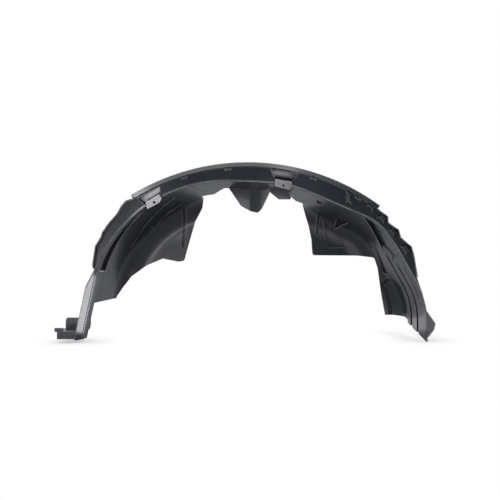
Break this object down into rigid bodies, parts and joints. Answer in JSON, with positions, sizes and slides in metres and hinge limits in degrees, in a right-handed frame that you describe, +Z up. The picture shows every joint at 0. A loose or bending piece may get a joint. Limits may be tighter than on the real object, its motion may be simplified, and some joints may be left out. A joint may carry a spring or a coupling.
{
  "type": "front wheel arch liner",
  "caption": "One-piece moulded wheel arch liner with a stepped rim, drafted barrel, inboard wall with pressed beads, strut opening and fixing tabs.",
  "frame": {"origin": "midway between the two tab holes, on the outboard face of the tabs", "axes": "+X along the car from the tray at the rear foot to the flared front foot, +Y inboard, +Z up"},
  "size_m": [0.9344, 0.2548, 0.4451],
  "materials": {
    "black_plastic": "semi-gloss moulded"
  },
  "bodies": {
    "root": {"mudguard": "black_plastic"}
  },
  "joints": []
}
